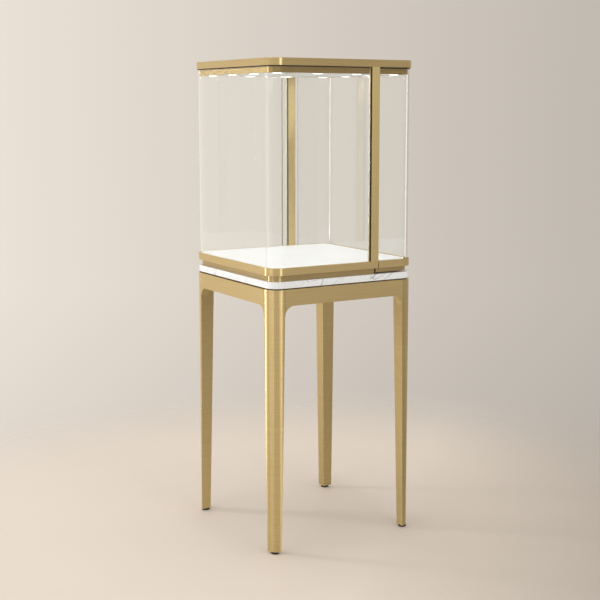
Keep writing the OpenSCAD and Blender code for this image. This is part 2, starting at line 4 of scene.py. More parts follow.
import bmesh
import bpy
from mathutils import Matrix, Vector


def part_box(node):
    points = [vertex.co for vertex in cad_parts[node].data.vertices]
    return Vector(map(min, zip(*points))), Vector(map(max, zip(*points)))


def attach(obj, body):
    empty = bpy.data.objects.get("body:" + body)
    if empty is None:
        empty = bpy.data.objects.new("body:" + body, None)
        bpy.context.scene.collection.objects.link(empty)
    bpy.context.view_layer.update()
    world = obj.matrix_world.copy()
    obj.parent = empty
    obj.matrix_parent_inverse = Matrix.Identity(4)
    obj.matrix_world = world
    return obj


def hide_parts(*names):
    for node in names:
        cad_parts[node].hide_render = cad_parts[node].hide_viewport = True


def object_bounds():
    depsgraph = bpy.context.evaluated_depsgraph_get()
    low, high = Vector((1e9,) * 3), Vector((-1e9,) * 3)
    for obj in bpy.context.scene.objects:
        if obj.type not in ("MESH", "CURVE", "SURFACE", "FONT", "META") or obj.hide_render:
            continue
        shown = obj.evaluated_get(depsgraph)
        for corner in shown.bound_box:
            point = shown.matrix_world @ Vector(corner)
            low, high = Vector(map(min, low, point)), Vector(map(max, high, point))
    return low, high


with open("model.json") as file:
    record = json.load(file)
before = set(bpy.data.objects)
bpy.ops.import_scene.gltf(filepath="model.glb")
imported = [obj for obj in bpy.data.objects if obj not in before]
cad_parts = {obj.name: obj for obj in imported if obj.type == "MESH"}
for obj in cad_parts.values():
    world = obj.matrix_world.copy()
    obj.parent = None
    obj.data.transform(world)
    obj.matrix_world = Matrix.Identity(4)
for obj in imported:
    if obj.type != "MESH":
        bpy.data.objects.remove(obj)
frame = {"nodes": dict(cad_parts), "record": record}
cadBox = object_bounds()
cadNodes = frame["nodes"]
bodyMembers = frame["record"]["behaviour"]["bodies"]
nodeBody = {node: body for body, members in bodyMembers.items() for node in members}
nodeSlot = {part["node"]: part["material_slot"] for part in frame["record"]["subparts"]}
collection = bpy.context.scene.collection
print("frame loaded:", len(cadNodes), "nodes")

# Camera, solved from the edges of the case in the photo

cameraSetup = {
    "place": (2.8706, -1.7184, 1.1785),
    "turn": 59.0,  # degrees, as the tilt
    "tilt": -8.05,
    "lens": 72.02,  # millimetres, as the sensor
    "sensor": 36.0,
    "shiftX": -0.0063,
    "shiftY": -0.04,
    "reach": 60,
}


def addCamera(setup):
    data = bpy.data.cameras.new("photoCamera")
    data.lens = setup["lens"]
    data.sensor_width = setup["sensor"]
    data.shift_x = setup["shiftX"]
    data.shift_y = setup["shiftY"]
    data.clip_end = setup["reach"]
    camera = bpy.data.objects.new("photoCamera", data)
    camera.location = setup["place"]
    camera.rotation_euler = (math.radians(90 + setup["tilt"]), 0, math.radians(setup["turn"]))
    collection.objects.link(camera)
    bpy.context.scene.camera = camera


addCamera(cameraSetup)
print("camera placed")

# Node helpers: they take sockets or plain values, and most give back the socket of their result

firstColor, secondColor, resultColor = 6, 7, 2  # sockets of a Mix node, whose names other kinds share
noiseSpread = (0.3, 0.7)  # most values of a noise texture lie between these


def connect(tree, inputs, links):
    for socket, source in links.items():
        if isinstance(source, bpy.types.NodeSocket):
            tree.links.new(source, inputs[socket])
        else:
            inputs[socket].default_value = source


def addNode(tree, kind, links=None, **settings):
    node = tree.nodes.new(kind)
    for name, value in settings.items():
        setattr(node, name, value)
    connect(tree, node.inputs, links or {})
    return node


def mathNode(tree, operation, *values):
    return addNode(tree, "ShaderNodeMath", dict(enumerate(values)), operation=operation).outputs[0]


def mixValues(tree, factor, first, second):
    links = {"Factor": factor, "A": first, "B": second}
    return addNode(tree, "ShaderNodeMix", links, data_type="FLOAT").outputs[0]


def mixColors(tree, factor, first, second):
    links = {"Factor": factor}
    for socket, color in ((firstColor, first), (secondColor, second)):
        links[socket] = color if isinstance(color, bpy.types.NodeSocket) else (*color, 1)
    return addNode(tree, "ShaderNodeMix", links, data_type="RGBA").outputs[resultColor]


def mixShaders(tree, factor, first, second):
    return addNode(tree, "ShaderNodeMixShader", {0: factor, 1: first, 2: second}).outputs[0]


def clearShader(tree, color=(1, 1, 1)):
    return addNode(tree, "ShaderNodeBsdfTransparent", {"Color": (*color, 1)}).outputs[0]


def stretchedNoise(tree, place, scale, size, detail, turn=(0, 0, 0)):
    mapping = addNode(tree, "ShaderNodeMapping", {"Vector": place, "Scale": scale, "Rotation": turn})
    links = {"Vector": mapping.outputs[0], "Scale": size, "Detail": detail}
    return addNode(tree, "ShaderNodeTexNoise", links).outputs[0]


def evenNoise(tree, place, size, detail=3):
    return stretchedNoise(tree, place, (1, 1, 1), size, detail)


def mapRange(tree, value, low, high, newLow=0.0, newHigh=1.0):
    links = {"Value": value, "From Min": low, "From Max": high, "To Min": newLow, "To Max": newHigh}
    return addNode(tree, "ShaderNodeMapRange", links).outputs[0]


# How far a vector reaches along a level heading
def alongHeading(tree, vector, degrees):
    turn = math.radians(degrees)
    heading = Vector((math.cos(turn), math.sin(turn), 0))
    node = addNode(tree, "ShaderNodeVectorMath", {0: vector, 1: heading}, operation="DOT_PRODUCT")
    return node.outputs["Value"]


# 1 where the ray has been mirrored by a surface on its way here, else 0
def afterMirror(tree, path):
    return mathNode(tree, "GREATER_THAN", path["Glossy Depth"], 0.5)


def newGroup(name, inputs, outputs):
    group = bpy.data.node_groups.new(name, "ShaderNodeTree")
    for direction, sockets in (("INPUT", inputs), ("OUTPUT", outputs)):
        for label, kind in sockets.items():
            group.interface.new_socket(name=label, in_out=direction, socket_type="NodeSocket" + kind)
    return group, group.nodes.new("NodeGroupInput").outputs, group.nodes.new("NodeGroupOutput").inputs


# Brushing: fine lines that run round the piece on upright faces and along X on level ones

brushingSetup = {
    "lines": {"along": 6, "across": 1400},
    "bands": {"along": 8, "across": 520},
    "detail": 2,
    "patches": 7,
    "levelFrom": 0.7,  # faces whose normal points up or down by more than this are level
}


def makeBrushing(setup):
    inputs = {"Place": "Vector", "Normal": "Vector"}
    outputs = {"Lines": "Float", "Bands": "Float", "Patches": "Float"}
    group, inputs, outputs = newGroup("brushing", inputs, outputs)
    up = addNode(group, "ShaderNodeSeparateXYZ", {"Vector": inputs["Normal"]}).outputs["Z"]
    level = mathNode(group, "GREATER_THAN", mathNode(group, "ABSOLUTE", up), setup["levelFrom"])

    def layer(along, across):
        upright = stretchedNoise(group, inputs["Place"], (along, along, across), 1.0, setup["detail"])
        flat = stretchedNoise(group, inputs["Place"], (along, across, along), 1.0, setup["detail"])
        return mixValues(group, level, upright, flat)

    group.links.new(layer(**setup["lines"]), outputs["Lines"])
    group.links.new(layer(**setup["bands"]), outputs["Bands"])
    group.links.new(evenNoise(group, inputs["Place"], setup["patches"]), outputs["Patches"])
    return group


# Veins: wandering lines in a cloudy stone, big ones and small ones, that fade out in patches

veinSetup = {
    "big": {"turn": (-0.735, 0.0, -1.131), "shift": (0.11, 0.3, 0.0),
            "size": 1.0, "width": 1.0, "strength": 1.0},
    "small": {"turn": (-0.95, 0.2, -0.8), "shift": (0.7, 0.2, 0.4),
              "size": 2.3, "width": 0.6, "strength": 0.45},
    "stretch": (1.0, 0.38, 1.0),
    "detail": 5,
    "distortion": 0.9,
    "cloudStretch": (1, 1.6, 1),
    "cloudTurn": (0.5, 0.35, 0.7),
    "cloudSize": 5,
    "cloudDetail": 4,
    "patchSize": 3.1,
    "patchDetail": 2,
    "patchSpread": (0.35, 0.65),
}


def makeVeins(setup):
    inputs = {"Place": "Vector", "Size": "Float", "Width": "Float"}
    group, inputs, outputs = newGroup("veins", inputs, {"Veins": "Float", "Clouds": "Float"})

    def lines(turn, shift, size, width, strength):
        links = {"Vector": inputs["Place"], "Rotation": turn, "Location": shift, "Scale": setup["stretch"]}
        moved = addNode(group, "ShaderNodeMapping", links, vector_type="TEXTURE").outputs[0]
        links = {"Vector": moved, "Scale": mathNode(group, "MULTIPLY", inputs["Size"], size),
                 "Detail": setup["detail"], "Distortion": setup["distortion"]}
        noise = addNode(group, "ShaderNodeTexNoise", links).outputs[0]
        fromMiddle = mathNode(group, "ABSOLUTE", mathNode(group, "SUBTRACT", noise, 0.5))
        halfWidth = mathNode(group, "MULTIPLY", inputs["Width"], width)
        line = mathNode(group, "SUBTRACT", 1.0, mapRange(group, fromMiddle, 0.0, halfWidth))
        return mathNode(group, "MULTIPLY", line, strength)

    both = mathNode(group, "MAXIMUM", lines(**setup["big"]), lines(**setup["small"]))
    patches = evenNoise(group, inputs["Place"], setup["patchSize"], setup["patchDetail"])
    patches = mapRange(group, patches, *setup["patchSpread"])
    clouds = stretchedNoise(group, inputs["Place"], setup["cloudStretch"], setup["cloudSize"],
                            setup["cloudDetail"], setup["cloudTurn"])
    group.links.new(mathNode(group, "MULTIPLY", both, patches), outputs["Veins"])
    group.links.new(clouds, outputs["Clouds"])
    return group


# Grain: small bumps of painted, lacquered, moulded and frosted surfaces

grainSetup = {"fineDetail": 2, "blotchSize": 18, "blotchDetail": 3}


def makeGrain(setup):
    inputs = {"Place": "Vector", "Size": "Float"}
    group, inputs, outputs = newGroup("grain", inputs, {"Fine": "Float", "Blotches": "Float"})
    fine = evenNoise(group, inputs["Place"], inputs["Size"], setup["fineDetail"])
    blotches = evenNoise(group, inputs["Place"], setup["blotchSize"], setup["blotchDetail"])
    group.links.new(fine, outputs["Fine"])
    group.links.new(blotches, outputs["Blotches"])
    return group


brushing = makeBrushing(brushingSetup)
veins = makeVeins(veinSetup)
grain = makeGrain(grainSetup)
print("node groups made")


def startMaterial(name, sockets):
    material = bpy.data.materials.new(name)
    material.use_nodes = True
    tree = material.node_tree
    shader = tree.nodes["Principled BSDF"]
    connect(tree, shader.inputs, sockets)
    return material, tree, shader, addNode(tree, "ShaderNodeTexCoord").outputs


def placeGroup(tree, group, links):
    node = tree.nodes.new("ShaderNodeGroup")
    node.node_tree = group
    connect(tree, node.inputs, links)
    return node.outputs


def addBump(tree, shader, height, strength, distance):
    bump = addNode(tree, "ShaderNodeBump", {"Height": height, "Strength": strength, "Distance": distance})
    tree.links.new(bump.outputs[0], shader.inputs["Normal"])


# Brushed metals

brassRough = (0.29, 0.37)
stripRough = (0.33, 0.42)
metalLooks = {
    "brass": {"pale": (0.79, 0.63, 0.325), "deep": (0.665, 0.515, 0.245),
              "rough": brassRough, "bump": 0.08},
    # painted shade: the back legs get a darker copy of the brass
    "brass_leg": {"pale": (0.72, 0.57, 0.29), "deep": (0.605, 0.465, 0.217),
                  "rough": brassRough, "bump": 0.08},
    # painted light: the jambs get a paler copy of the brass
    "brass_jamb": {"pale": (0.86, 0.70, 0.355), "deep": (0.74, 0.58, 0.275),
                   "rough": brassRough, "bump": 0.08},
    # painted shade: the band under the cap and the door's top rail get a darker copy of the brass
    "brass_band": {"pale": (0.52, 0.36, 0.105), "deep": (0.43, 0.295, 0.083),
                   "rough": stripRough, "bump": 0.08},
    # painted shade: the recessed plinth strips get a darker copy of the brass
    "brass_plinth": {"pale": (0.67, 0.53, 0.29), "deep": (0.565, 0.44, 0.235),
                     "rough": stripRough, "bump": 0.08},
    "zinc_steel": {"pale": (0.62, 0.62, 0.61), "deep": (0.45, 0.45, 0.45),
                   "rough": (0.28, 0.42), "bump": 0.05},
    "heat_sink": {"pale": (0.60, 0.60, 0.60), "deep": (0.44, 0.44, 0.44),
                  "rough": (0.34, 0.48), "bump": 0.05},
    "bronze": {"pale": (0.46, 0.29, 0.13), "deep": (0.28, 0.16, 0.07),
               "rough": (0.26, 0.45), "bump": 0.04},
}

# Lit and shaded copies of the one brass: painted shade darkens the recessed strips and back legs, painted
# light brightens the jambs
paintedLightLooks = {
    "upper_band": "brass_band",
    "door_top_rail": "brass_band",
    "plinth_front": "brass_plinth",
    "door_plinth_rail": "brass_plinth",
    "jamb_left": "brass_jamb",
    "jamb_right": "brass_jamb",
    "leg_back_left": "brass_leg",
    "leg_back_right": "brass_leg",
}

metalSetup = {
    "shares": {"Lines": 0.3, "Bands": 0.5, "Patches": 0.2},
    "tones": (0.28, 0.72),  # deep at the first, pale at the second
    "tangent": {"X": 0.02, "Y": 0.0, "Z": 1.0},
    "bumpDepth": 0.0002,
}


def makeMetal(slot, look):
    material, tree, shader, place = startMaterial(slot, {"Metallic": 1.0, "Anisotropic": 1.0})
    lines = placeGroup(tree, brushing, {"Place": place["Object"], "Normal": place["Normal"]})
    tone = 0.0
    for name, share in metalSetup["shares"].items():
        tone = mathNode(tree, "MULTIPLY_ADD", lines[name], share, tone)
    tone = mapRange(tree, tone, *metalSetup["tones"])
    tree.links.new(mixColors(tree, tone, look["deep"], look["pale"]), shader.inputs["Base Color"])
    rough = mapRange(tree, lines["Lines"], *noiseSpread, *look["rough"])
    tree.links.new(rough, shader.inputs["Roughness"])
    tangent = addNode(tree, "ShaderNodeCombineXYZ", metalSetup["tangent"])
    tree.links.new(tangent.outputs[0], shader.inputs["Tangent"])
    addBump(tree, shader, lines["Lines"], look["bump"], metalSetup["bumpDepth"])
    return material


# White stones

stoneLooks = {
    "marble": {"body": (0.93, 0.93, 0.925), "shade": (0.88, 0.88, 0.88), "vein": (0.30, 0.30, 0.31),
               "size": 6.0, "width": 0.014, "strength": 0.95, "rough": 0.12},
    "deck_white": {"body": (0.94, 0.94, 0.94), "shade": (0.91, 0.91, 0.91), "vein": (0.80, 0.80, 0.80),
                   "size": 3.0, "width": 0.02, "strength": 0.3, "rough": 0.40},
}

stoneSetup = {
    "coat": {"Coat Weight": 0.15, "Coat Roughness": 0.05},
    "shades": (0.35, 0.7),  # body at the first, shade at the second
    "cloudyRough": 0.08,  # added where the clouds are thickest
    "bump": 0.02,
    "bumpDepth": 0.001,
}


def makeStone(slot, look):
    material, tree, shader, place = startMaterial(slot, stoneSetup["coat"])
    stone = placeGroup(tree, veins, {"Place": place["Object"], "Size": look["size"], "Width": look["width"]})
    shade = mapRange(tree, stone["Clouds"], *stoneSetup["shades"])
    body = mixColors(tree, shade, look["body"], look["shade"])
    amount = mathNode(tree, "MULTIPLY", stone["Veins"], look["strength"])
    tree.links.new(mixColors(tree, amount, body, look["vein"]), shader.inputs["Base Color"])
    roughest = look["rough"] + stoneSetup["cloudyRough"]
    rough = mapRange(tree, stone["Clouds"], *noiseSpread, look["rough"], roughest)
    tree.links.new(rough, shader.inputs["Roughness"])
    addBump(tree, shader, stone["Clouds"], stoneSetup["bump"], stoneSetup["bumpDepth"])
    return material


# Moulded, painted and lacquered surfaces

plainLooks = {
    "black_rubber": {"light": (0.030, 0.029, 0.028), "dark": (0.016, 0.016, 0.016), "rough": (0.55, 0.75),
                     "size": 1300, "bump": 0.25},
    "black_steel": {"light": (0.085, 0.057, 0.025), "dark": (0.055, 0.037, 0.017), "rough": (0.38, 0.55),
                    "size": 900, "bump": 0.2},
    "dark_board": {"light": (0.060, 0.050, 0.042), "dark": (0.034, 0.029, 0.025), "rough": (0.40, 0.60),
                   "size": 500, "bump": 0.15},
    "white_paint": {"light": (0.86, 0.86, 0.84), "dark": (0.80, 0.80, 0.78), "rough": (0.36, 0.48),
                    "size": 700, "bump": 0.12},
    "black_plastic": {"light": (0.036, 0.036, 0.036), "dark": (0.020, 0.020, 0.020), "rough": (0.36, 0.5),
                      "size": 1500, "bump": 0.2},
}

grainDepth = 0.0003


def makePlain(slot, look):
    material, tree, shader, place = startMaterial(slot, {})
    bumps = placeGroup(tree, grain, {"Place": place["Object"], "Size": look["size"]})
    blotches = mapRange(tree, bumps["Blotches"], *noiseSpread)
    tree.links.new(mixColors(tree, blotches, look["dark"], look["light"]), shader.inputs["Base Color"])
    rough = mapRange(tree, bumps["Fine"], *noiseSpread, *look["rough"])
    tree.links.new(rough, shader.inputs["Roughness"])
    addBump(tree, shader, bumps["Fine"], look["bump"], grainDepth)
    return material


# Clear glass, ground at its end faces

# Shadow rays and diffuse rays go straight through, so that the lamps and the room light the deck
glassLook = {
    "tint": (0.975, 0.99, 0.985),
    "paleTint": (0.99, 0.995, 0.99),
    "passing": (0.96, 0.97, 0.965),
    "ior": 1.5,
    "groundRough": 0.7,
    "waveStretch": (1, 1, 0.4),
    "waveSize": 3.5,
    "waveDetail": 1,
    "wave": 0.004,
    "waveDepth": 0.02,
}


def makeGlass(slot, look):
    plain = {"Transmission Weight": 1.0, "Roughness": 0.0, "IOR": look["ior"]}
    material, tree, shader, place = startMaterial(slot, plain)
    wave = stretchedNoise(tree, place["Object"], look["waveStretch"], look["waveSize"], look["waveDetail"])
    tint = mixColors(tree, mapRange(tree, wave, *noiseSpread), look["tint"], look["paleTint"])
    tree.links.new(tint, shader.inputs["Base Color"])
    ground = addNode(tree, "ShaderNodeAttribute", attribute_name="ground").outputs["Fac"]
    tree.links.new(mathNode(tree, "MULTIPLY", ground, look["groundRough"]), shader.inputs["Roughness"])
    addBump(tree, shader, wave, look["wave"], look["waveDepth"])
    path = addNode(tree, "ShaderNodeLightPath").outputs
    clear = clearShader(tree, look["passing"])
    soft = mixShaders(tree, path["Is Diffuse Ray"], shader.outputs[0], clear)
    lamps = mixShaders(tree, path["Is Shadow Ray"], soft, clear)
    tree.links.new(lamps, tree.nodes["Material Output"].inputs["Surface"])
    return material


# Lit lens of a downlight

lensLook = {
    "body": (0.93, 0.91, 0.86),
    "paleBody": (0.97, 0.95, 0.90),
    "rough": 0.3,
    "glow": (0.985, 0.99, 1.0),
    "strength": 64.0,
    "grainSize": 600,
    "bump": 0.15,
}


def makeLens(slot, look):
    plain = {"Roughness": look["rough"], "Emission Strength": look["strength"],
             "Emission Color": (*look["glow"], 1)}
    material, tree, shader, place = startMaterial(slot, plain)
    bumps = placeGroup(tree, grain, {"Place": place["Object"], "Size": look["grainSize"]})
    tint = mixColors(tree, bumps["Blotches"], look["body"], look["paleBody"])
    tree.links.new(tint, shader.inputs["Base Color"])
    addBump(tree, shader, bumps["Fine"], look["bump"], grainDepth)
    return material


materials = {}
for makeLook, looks in (
    (makeMetal, metalLooks),
    (makeStone, stoneLooks),
    (makePlain, plainLooks),
    (makeGlass, {"glass": glassLook}),
    (makeLens, {"lens": lensLook}),
):
    materials.update({slot: makeLook(slot, look) for slot, look in looks.items()})


def lookOf(name):
    return materials[paintedLightLooks.get(name, nodeSlot[name])]


for name, node in cadNodes.items():
    for materialSlot in node.material_slots:
        materialSlot.material = lookOf(name)
print("materials made:", len(materials))

# Pieces finished from their own solids, with their edges broken

corners = ("front_left", "front_right", "back_left", "back_right")
sides = ("front", "back", "left", "right")

# For each node: the width of the break, the shortest edge that is broken and, for the rails, how far above
# their thin lower ends the breaks start
edgeBreaks = {
    "cap_shell": (0.0008, 0.001),
    "cap_plate": (0.0006, 0.0015),
    "upper_band": (0.0004, 0.001),
    "light_tray": (0.0003, 0.001),
    "rim_front": (0.0006, 0.0015),
    "plinth_front": (0.0004, 0.001),
    "deck_panel": (0.0006, 0.001),
    "marble_slab": (0.0012, 0.002),
    "slab_bed_plate": (0.0005, 0.0015),
    "jamb_left": (0.0005, 0.004),
    "jamb_right": (0.0005, 0.004),
    "jamb_seals": (0.0005, 0.001),
    "glass_trims": (0.0003, 0.001),
    "door_bottom_rail": (0.0006, 0.0015),
    "door_plinth_rail": (0.0004, 0.001),
    "door_top_rail": (0.0004, 0.001),
    **{"leg_" + corner: (0.0008, 0.03) for corner in corners},
    **{"rail_" + side: (0.0005, 0.0015, 0.008) for side in sides},
    "rail_gussets": (0.0006, 0.003),
    "slab_bolts": (0.0003, 0.0004),
    "slab_nuts": (0.0003, 0.003),
    **{"foot_pad_" + corner: (0.0010, 0.0006) for corner in corners},
    "downlight_rings": (0.0003, 0.0015),
    "downlight_lenses": (0.0006, 0.0015),
    "tray_screws": (0.0002, 0.0003),
    "cap_screws": (0.0002, 0.0003),
    "pivot_plate": (0.0004, 0.002),
    "lock_barrel": (0.0003, 0.0004),
    "lock_plug_and_cam": (0.0002, 0.0005),
    "lock_keeper": (0.0003, 0.001),
    "led_driver": (0.0008, 0.001),
}

# The angles are in degrees
pieceSetup = {
    "weld": 1e-6,
    "flatWithin": 0.5,  # faces that meet at less are joined
    "breakOver": 30,  # edges that turn by more are broken
    "breakSteps": 2,
    "sharpOver": 35,  # edges that turn by more aren't shaded smooth
    "normalWeight": 50,
}


def weld(shape):
    bmesh.ops.remove_doubles(shape, verts=shape.verts, dist=pieceSetup["weld"])


def copyOfNode(name):
    shape = bmesh.new()
    shape.from_mesh(cadNodes[name].data)
    weld(shape)
    flatWithin = math.radians(pieceSetup["flatWithin"])
    bmesh.ops.dissolve_limit(shape, angle_limit=flatWithin, verts=shape.verts, edges=shape.edges)
    return shape


def bevelEdges(shape, width, shortest=0.0, lowest=0.0):
    breakOver = math.radians(pieceSetup["breakOver"])
    outer = [e for e in shape.edges if e.is_convex and e.calc_face_angle() > breakOver
             and e.calc_length() > shortest and min(v.co.z for v in e.verts) >= lowest]
    bmesh.ops.bevel(shape, geom=outer, offset=width, offset_type="OFFSET", affect="EDGES",
                    segments=pieceSetup["breakSteps"], profile=0.5, material=-1)


def finishPiece(shape, pieceName, body, material):
    mesh = bpy.data.meshes.new(pieceName)
    shape.to_mesh(mesh)
    shape.free()
    mesh.shade_smooth()
    mesh.set_sharp_from_angle(angle=math.radians(pieceSetup["sharpOver"]))
    piece = bpy.data.objects.new(pieceName, mesh)
    collection.objects.link(piece)
    mesh.materials.append(material)
    even = piece.modifiers.new("faceNormals", "WEIGHTED_NORMAL")
    even.weight = pieceSetup["normalWeight"]
    even.keep_sharp = True
    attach(piece, body)
    return piece


def camelName(name):
    first, *rest = name.split("_")
    return first + "".join(word.capitalize() for word in rest)


def standIn(shape, name):
    piece = finishPiece(shape, camelName(name), nodeBody[name], lookOf(name))
    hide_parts(name)


def breakEdges(name, width, shortest, above=0.0):
    shape = copyOfNode(name)
    bevelEdges(shape, width, shortest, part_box(name)[0].z + above)
    standIn(shape, name)


for name, setup in edgeBreaks.items():
    breakEdges(name, *setup)
print("edges broken on", len(edgeBreaks), "pieces")

# Turned pieces: a profile of radius and height is spun round an upright axis


def middleOf(name):
    low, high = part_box(name)
    return (low.x + high.x) / 2, (low.y + high.y) / 2


def turnProfile(name, profile, steps):
    x, y = middleOf(name)
    shape = bmesh.new()
    points = [shape.verts.new((x + radius, y, height)) for radius, height in profile]
    edges = [shape.edges.new(pair) for pair in zip(points, points[1:])]
    bmesh.ops.spin(shape, geom=points + edges, cent=(x, y, 0), axis=(0, 0, 1), angle=math.tau, steps=steps,
                   use_merge=True, use_duplicate=False)
    weld(shape)
    bmesh.ops.recalc_face_normals(shape, faces=shape.faces)
    standIn(shape, name)


# Levelling studs: rings stand in for the thread

studSetup = {"pitch": 0.00125, "groove": 0.0006, "tip": 0.001, "steps": 32}


def makeStud(name, setup):
    low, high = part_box(name)
    radius = (high.x - low.x) / 2
    root = radius - setup["groove"]
    start = low.z + setup["tip"]
    turns = int((high.z - low.z - 2 * setup["tip"]) / setup["pitch"])
    profile = [(0, low.z), (root, low.z)]
    for turn in range(turns):
        foot = start + turn * setup["pitch"]
        profile += [(root, foot), (radius, foot + setup["pitch"] / 2)]
    profile += [(root, start + turns * setup["pitch"]), (root - setup["tip"], high.z), (0, high.z)]
    turnProfile(name, profile, setup["steps"])


# Inlet: a body with a flange below it and a pin in its socket

inletSetup = {
    "body": 0.006,
    "flange": 0.010,
    "flangeHeight": 0.002,
    "edge": 0.0005,
    "hole": 0.0032,
    "depth": 0.010,
    "pin": 0.0010,
    "pinEnd": 0.003,
    "steps": 48,
}


def makeInlet(name, setup):
    low, high = (corner.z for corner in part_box(name))
    body, flange, hole, pin = (setup[part] for part in ("body", "flange", "hole", "pin"))
    top = low + setup["flangeHeight"]
    inner = low + setup["depth"]
    pinEnd = low + setup["pinEnd"]
    edge = setup["edge"]
    outside = [(0, high), (body, high), (body, top), (flange, top)]
    rim = [(flange, low + edge), (flange - edge, low)]
    socket = [(hole, low), (hole, inner), (pin, inner), (pin, pinEnd), (0, pinEnd)]
    turnProfile(name, outside + rim + socket, setup["steps"])


for corner in corners:
    makeStud("foot_stud_" + corner, studSetup)
makeInlet("power_inlet", inletSetup)
print("studs and inlet turned")

# Bent sheets: an upright edge is drawn along the plan, round both corners, then given its thickness

caseHalf = cadBox[1].x
bend = {"centre": 0.188, "steps": 24}  # the round corners' centres, along X and Y from the middle of the case


def drawAlong(shape, edges, move):
    new = bmesh.ops.extrude_edge_only(shape, edges=edges)["geom"]
    bmesh.ops.translate(shape, vec=move, verts=[g for g in new if isinstance(g, bmesh.types.BMVert)])
    return [g for g in new if isinstance(g, bmesh.types.BMEdge) and g.verts[0].co.xy == g.verts[1].co.xy]


def bendRound(shape, edges, centre, degrees, steps):
    geom = edges + list({v for e in edges for v in e.verts})
    last = bmesh.ops.spin(shape, geom=geom, cent=centre, axis=(0, 0, 1), angle=math.radians(degrees),
                          steps=steps, use_duplicate=False)["geom_last"]
    return [g for g in last if isinstance(g, bmesh.types.BMEdge)]


# side is -1 for the front and 1 for the door, and the sheet runs from startY on the right to endY on the left
def bentSheet(low, high, inset, thickness, side, startY, endY):
    shape = bmesh.new()
    first = [shape.verts.new((caseHalf - inset, startY, z)) for z in (low, high)]
    edges = [shape.edges.new(first)]
    middle = bend["centre"]
    corner = middle * side
    edges = drawAlong(shape, edges, (0, corner - startY, 0))
    edges = bendRound(shape, edges, (middle, corner, 0), 90 * side, bend["steps"])
    edges = drawAlong(shape, edges, (-2 * middle, 0, 0))
    edges = bendRound(shape, edges, (-middle, corner, 0), 90 * side, bend["steps"])
    drawAlong(shape, edges, (0, endY - corner, 0))
    weld(shape)
    bmesh.ops.recalc_face_normals(shape, faces=shape.faces)
    outside = max(shape.faces, key=lambda f: f.calc_center_median().x)
    if outside.normal.x < 0:
        bmesh.ops.reverse_faces(shape, faces=shape.faces)
    bmesh.ops.solidify(shape, geom=shape.faces[:], thickness=thickness)
    bmesh.ops.recalc_face_normals(shape, faces=shape.faces)
    return shape


# Panes: they stand a little clear of what holds them, and their end faces are ground

paneSetup = {
    "inset": 0.00415,
    "thickness": 0.0047,
    "edge": 0.0005,
    "clearBelow": 0.0002,
    "clearAbove": 0.0003,
    "clearEnd": 0.0002,
    "noseEnd": 0.1158,  # where the door's pane ends at its hinge
}


def makePane(name, side, startY, endY, setup):
    low, high = (corner.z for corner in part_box(name))
    low += setup["clearBelow"]
    high -= setup["clearAbove"]
    shape = bentSheet(low, high, setup["inset"], setup["thickness"], side, startY, endY)
    bevelEdges(shape, setup["edge"])
    ground = shape.faces.layers.float.new("ground")
    for face in shape.faces:
        y = face.calc_center_median().y
        face[ground] = float(min(abs(y - startY), abs(y - endY)) < setup["edge"])
    standIn(shape, name)


# Black bead on the outside of each pane, under the cap

beadSetup = {
    "inset": 0.0026,
    "thickness": 0.0014,
    "height": 0.0024,
    "gap": 0.0002,
    "edge": 0.0003,
    "noseEnd": 0.1190,  # short of the pane's end, to turn clear of the light tray
}


def makeBead(pieceName, name, side, startY, endY, setup):
    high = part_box(name)[1].z - setup["gap"]
    shape = bentSheet(high - setup["height"], high, setup["inset"], setup["thickness"], side, startY, endY)
    bevelEdges(shape, setup["edge"])
    finishPiece(shape, pieceName, nodeBody[name], materials["black_rubber"])


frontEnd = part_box("glass_front")[1].y - paneSetup["clearEnd"]
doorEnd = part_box("door_glass")[0].y + paneSetup["clearEnd"]
makePane("glass_front", -1, frontEnd, frontEnd, paneSetup)
makePane("door_glass", 1, doorEnd, paneSetup["noseEnd"], paneSetup)
makeBead("frontBead", "glass_front", -1, frontEnd, frontEnd, beadSetup)
makeBead("doorBead", "door_glass", 1, doorEnd, beadSetup["noseEnd"], beadSetup)
print("panes and beads bent")

# Cover on the nose of the door's bottom rail: it fills the round cut in the deck and turns with the door

coverSetup = {"radius": 0.0172, "depth": 0.0032, "gap": 0.0002, "flat": 0.0100, "edge": 0.0003, "steps": 64}


def makeCover(setup):
    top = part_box("deck_panel")[1].z
    flat = setup["flat"] - caseHalf
    shape = bmesh.new()
    bmesh.ops.create_circle(shape, cap_ends=True, segments=setup["steps"], radius=setup["radius"])
    centre = (*middleOf("pivot_pin_lower"), top - setup["depth"])
    bmesh.ops.translate(shape, vec=centre, verts=shape.verts)
    for vertex in shape.verts:
        vertex.co.x = max(vertex.co.x, flat)
    new = bmesh.ops.extrude_face_region(shape, geom=shape.faces[:])["geom"]
    upper = [g for g in new if isinstance(g, bmesh.types.BMVert)]
    bmesh.ops.translate(shape, vec=(0, 0, setup["depth"] - setup["gap"]), verts=upper)
    bmesh.ops.recalc_face_normals(shape, faces=shape.faces)
    bevelEdges(shape, setup["edge"])
    finishPiece(shape, "noseCover", "door", materials["deck_white"])


makeCover(coverSetup)
print("nose cover made")

# Floor: pale, with painted shade darkening it towards the right of the picture, and faded out into the
# background

floorSetup = {
    "radius": 7.0,
    "steps": 96,
    "color": (0.76, 0.665, 0.57),
    "paler": 1.06,
    "toneSize": 1.3,
    "rough": 0.55,
    # painted shade: along the heading, over the reach, the floor darkens towards this colour
    "darkColor": (0.36, 0.31, 0.26),
    "darkWay": 45.0,
    "darkReach": (0.25, 1.25),
    # painted shade on the floor's reflection: metal mirrors it at these shares of its colour
    "mirrored": (0.86, 0.36),  # shares of the colour that metal mirrors, on the pale side and the dark side
    "fade": {"From Min": 0.7, "From Max": 1.7},
}


